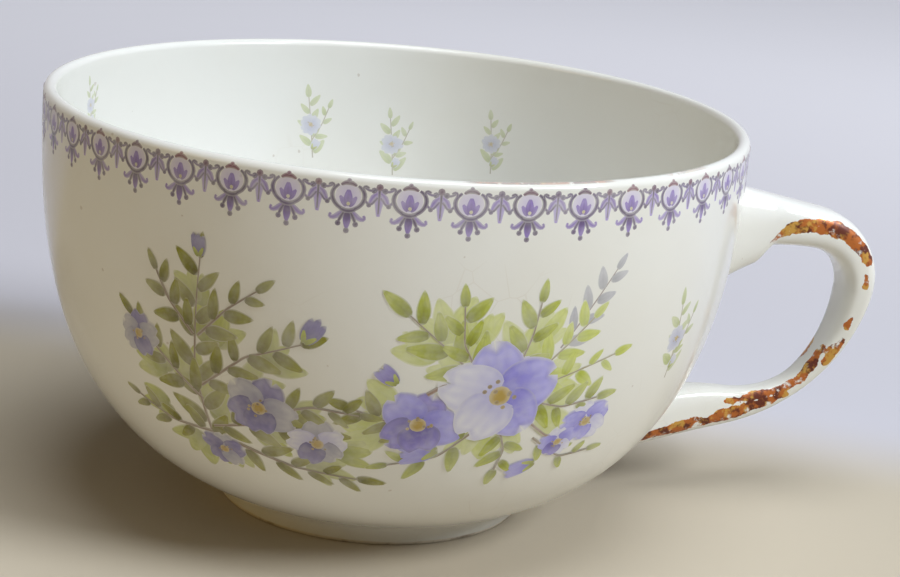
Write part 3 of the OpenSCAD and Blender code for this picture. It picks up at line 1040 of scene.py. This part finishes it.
def main_spray(film, at, rng):
    """A bunch of one large flower, smaller ones, buds and leaves."""
    sprig(film, at, SHADE_SPRIG, 3.4, 8, SHADE, np.random.default_rng(SHADE_SEED), 0.3)
    leaf_bed(film, at, MAIN_BED, LEAF_PALE, rng)
    for *path, leaf, count in MAIN_PALE:
        sprig(film, at, path, leaf, count, LEAF_PALE, rng, 0.3)
    # Sprigs that start more than 4 mm left of the middle take the darker leaf green, partly painted shade
    for *path, leaf, count in MAIN_SPRIGS:
        sprig(film, at, path, leaf, count, LEAF_DARK_AND_PAINTED_SHADE if path[0][0] < -4 else LEAF, rng, 0.42)
    for *path, width, cover in MAIN_STEMS:
        ribbon(film, at, path, width, STEM, cover)
    heads(film, at, MAIN_HEADS, rng)


# The same for the tall bunch
TALL_BED = (
    (0, -8, 60, 6.5), (-1, -4, 120, 6.5), (1, 2, 70, 6), (0, 7, 110, 5), (5, -3, 20, 6), (6, -9, -5, 6.5),
    (-5, -3, 160, 6), (-6, -9, 190, 5.5), (9, 1, 40, 5), (2, -13, 270, 5), (-2, -12, 235, 6),
    (11, -6, 10, 6), (12, -13, -25, 6), (16, -11, 0, 5.5),
)
TALL_SPRIGS = (
    ((0, -13), (-1.2, -2), (0.2, 13.5), 5, 13), ((-0.6, -4), (6, 1.5), (13.5, 4.5), 4.6, 9),
    ((-0.5, -6), (-6, -1), (-11, 3.5), 4.4, 8), ((0, -10), (7, -8), (16, -8), 4.4, 8),
    ((0, -11), (-6, -11), (-12, -8.5), 4, 7), ((-0.4, 3), (4, 7.5), (8, 10.5), 3.8, 6),
    ((-0.8, 3), (-4.5, 7), (-6.5, 10.5), 3.8, 6), ((3, -12), (10, -14.5), (18, -15.5), 4.4, 8),
    ((8, -6), (14, -4), (20, -4.5), 4.2, 7),
)
# Its flowers and buds take the darker, greyer violets, which are painted shade
TALL_HEADS = (
    (bud, 13.5, 4.6, 4.2, 60, PAINTED_SHADE_VIOLET), (flower, -9.8, 1, 7.4, 80, (PAINTED_SHADE_VIOLET, PAINTED_SHADE_VIOLET_PALE, PAINTED_SHADE_VIOLET_PALE)),
    (flower, 7.2, -5.4, 10.4, 60, (PAINTED_SHADE_VIOLET, PAINTED_SHADE_VIOLET_PALE, PAINTED_SHADE_VIOLET)),
    (flower, 14, -9.6, 8.8, 95, (PAINTED_SHADE_VIOLET_PALE, BLUE_PALE, PAINTED_SHADE_VIOLET)),
    (flower, 1, -13.6, 7, 85, (PAINTED_SHADE_VIOLET_PALE, PAINTED_SHADE_VIOLET, PAINTED_SHADE_VIOLET)), (bud, 0.1, 13.2, 3.2, 95, PAINTED_SHADE_VIOLET),
)


def tall_spray(film, at, rng):
    """A looser, taller bunch on a long stem, in tones a step darker than the large bunch's: painted shade.
    """
    leaf_bed(film, at, TALL_BED, LEAF, rng)
    # Its sprigs take the darker leaf green, partly painted shade
    for *path, leaf, count in TALL_SPRIGS:
        sprig(film, at, path, leaf, count, LEAF_DARK_AND_PAINTED_SHADE, rng, 0.5)
    heads(film, at, TALL_HEADS, rng)


def faint_sprig(film, at, rng, k=1.0):
    """A small pale sprig with one flower, at a scale."""
    sprig(film, at, k * np.array([(0.6, -5), (0.2, 0), (-0.6, 6)]), 3.0 * k, 8, FAINT, rng, 0.25)
    sprig(film, at, k * np.array([(0.2, -2), (2.0, 1), (3.2, 4.2)]), 2.2 * k, 5, FAINT, rng, 0.2)
    flower(film, moved(at, 0, k), 4.6 * k, 80, (BLUE_FAINT,), rng)
    bud(film, at, 2.4 * k, 60, BLUE_FAINT, rng, (0.4 * k, -3.4 * k))


# Sprays outside and inside: place by angle and distance from the lip, and inside the scale
OUTSIDE_SPRAYS = (
    ("spray_front", main_spray, (-83, 25.8)),
    ("spray_left", tall_spray, (-130, 25)),
    ("spray_right", faint_sprig, (-48, 22.5)),
    ("spray_back", main_spray, (95, 26.5)),
    ("spray_back_left", tall_spray, (141, 25)),
    ("spray_back_right", faint_sprig, (46, 22.5)),
)
INSIDE_SPRAYS = (
    ((95.5, 13.2), 0.9), ((79, 15.6), 0.85), ((59, 13.8), 0.8), ((151, 6.6), 0.6),
    ((-35, 14), 0.85), ((-95, 14.5), 0.9), ((-150, 14), 0.85),
)
OUTSIDE_SEED, INSIDE_SEED = 21, 33
# The paint inside is fainter
INSIDE_STRENGTH = 0.72


def outside_sprays():
    """One film for each bunch or sprig on the outside."""
    rng = np.random.default_rng(OUTSIDE_SEED)
    for name, draw, at in OUTSIDE_SPRAYS:
        film = Film(outside)
        draw(film, at, rng)
        film.piece(name)


def inside_sprays():
    """One film with all the sprigs on the inside."""
    rng = np.random.default_rng(INSIDE_SEED)
    film = Film(inside, -1, INSIDE_STRENGTH)
    for at, k in INSIDE_SPRAYS:
        film.count = 0
        faint_sprig(film, at, rng, k)
    film.piece("sprays_inside")


outside_sprays()
inside_sprays()

# Floor, light and camera

# Tones of the floor by the cup, behind it and far away, and where they change, in metres
FLOOR_NEAR = (0.56, 0.50, 0.405, 1)
FLOOR_MID = (0.615, 0.605, 0.67, 1)
FLOOR_FAR = (0.86, 0.85, 0.93, 1)
NEAR_TO_MID, MID_TO_FAR = (0.030, 0.066), (0.06, 0.45)
FLOOR_TURN, FLOOR_HALF = 25.7, 3.0
FLOOR_GRAIN, FLOOR_ROUGH, FLOOR_SPECULAR = 30, (0.75, 0.9), 0.15
# The background beyond the lamps' reach, and the distances over which it sets in
PALE = (0.76, 0.75, 0.81, 1)
PALE_STRENGTH, PALE_SPAN = 0.8, (0.55, 2.2)
# Weak light from all round
ROOM, ROOM_STRENGTH = (0.95, 0.92, 0.84, 1), 0.06
# Lamps: turn from the camera's right and height in degrees, distance and size in metres, power and colour
LAMPS = (
    ("key", -28, 38, 1.4, 0.5, 14, (0.92, 0.965, 1)),
    ("top", -50, 80, 1.5, 1, 13.3, (0.93, 0.97, 1)),
    ("fill", -155, 14, 1.6, 1, 2.7, (1, 0.62, 0.08)),
)
LAMP_AIM = Vector((0, 0, 0.03))
# Camera: turn about the cup, distance in millimetres and rise from the middle of the rim, the way it looks
# in degrees, and focal length and picture width in pixels
CAMERA_TURN, CAMERA_DISTANCE, CAMERA_RISE = -12.0, 290.0, 10.771
CAMERA_YAW, CAMERA_PITCH, CAMERA_ROLL = 1.811, -4.906, 5.119
CAMERA_FOCUS, IMAGE_WIDTH = 2133.0, 900.0
SENSOR_WIDTH, CLIP_START = 36, 0.01


def make_floor():
    """Plain pale floor with soft bands of tone."""
    n = Surface("pale_floor")
    turn = {"Vector": n.place, "Angle": math.radians(FLOOR_TURN)}
    back = n.part(n.add("VectorRotate", turn, rotation_type="Z_AXIS"), "Y")
    colour = n.blend(n.span(back, *MID_TO_FAR), FLOOR_MID, FLOOR_FAR)
    colour = n.blend(n.span(back, *NEAR_TO_MID), FLOOR_NEAR, colour)
    n.finish(colour, n.span(n.noise(FLOOR_GRAIN), 0.3, 0.7, *FLOOR_ROUGH))
    away = n.add("VectorMath", {0: n.place}, "Value", operation="LENGTH")
    glow = n.math("MULTIPLY", n.span(away, *PALE_SPAN, 0.0, PALE_STRENGTH), n.background())
    n.fill(n.shader, {"Specular IOR Level": FLOOR_SPECULAR, "Emission Color": PALE,
                      "Emission Strength": glow})
    mesh = bpy.data.meshes.new("floor")
    corners = [(x * FLOOR_HALF, y * FLOOR_HALF, 0) for x, y in ((-1, -1), (1, -1), (1, 1), (-1, 1))]
    mesh.from_pydata(corners, [], [(0, 1, 2, 3)])
    mesh.materials.append(n.material)
    link("floor", mesh)


def area_light(name, azimuth, elevation, distance, size, power, colour):
    """A round lamp that shines on the cup."""
    lamp = bpy.data.lights.new(name, "AREA")
    lamp.shape, lamp.size, lamp.energy, lamp.color = "DISK", size, power, colour
    ob = link(name, lamp)
    a, e = math.radians(azimuth + CAMERA_TURN), math.radians(elevation)
    way = Vector((math.cos(e) * math.cos(a), math.cos(e) * math.sin(a), math.sin(e)))
    ob.location = way * distance
    ob.rotation_euler = (LAMP_AIM - ob.location).to_track_quat("-Z", "Y").to_euler()


def make_world():
    """Weak light from all round, with the pale background behind it."""
    world = bpy.data.worlds.new("studio")
    world.use_nodes = True
    n = Nodes(world.node_tree)
    room = n.tree.nodes["Background"]
    n.fill(room, {"Color": ROOM, "Strength": ROOM_STRENGTH})
    pale = n.add("Background", {"Color": PALE, "Strength": PALE_STRENGTH})
    both = n.add("MixShader", {0: n.background(), 1: room.outputs[0], 2: pale})
    n.fill(n.tree.nodes["World Output"], {"Surface": both})
    bpy.context.scene.world = world


def make_camera():
    """Camera at the photograph's place, a little above the cup, turned and rolled."""
    e = math.radians(CAMERA_RISE)
    place = Vector((0, -CAMERA_DISTANCE * math.cos(e), CUP_H + CAMERA_DISTANCE * math.sin(e))) * MM
    rise, yaw, roll = (math.radians(v) for v in (CAMERA_PITCH - CAMERA_RISE, CAMERA_YAW, CAMERA_ROLL))
    ahead = Vector((math.sin(yaw) * math.cos(rise), math.cos(yaw) * math.cos(rise), math.sin(rise)))
    right = ahead.cross(Vector((0, 0, 1))).normalized()
    up = right.cross(ahead)
    right, up = math.cos(roll) * right + math.sin(roll) * up, math.cos(roll) * up - math.sin(roll) * right
    data = bpy.data.cameras.new("camera")
    data.sensor_width, data.clip_start = SENSOR_WIDTH, CLIP_START
    data.lens = CAMERA_FOCUS * SENSOR_WIDTH / IMAGE_WIDTH
    matrix = Matrix((right, up, -ahead)).transposed().to_4x4()
    matrix.translation = place
    camera = link("camera", data)
    camera.matrix_world = Matrix.Rotation(math.radians(CAMERA_TURN), 4, "Z") @ matrix
    bpy.context.scene.camera = camera


make_floor()
make_world()
for lamp in LAMPS:
    area_light(*lamp)
make_camera()
bpy.context.scene.view_settings.view_transform = "Standard"
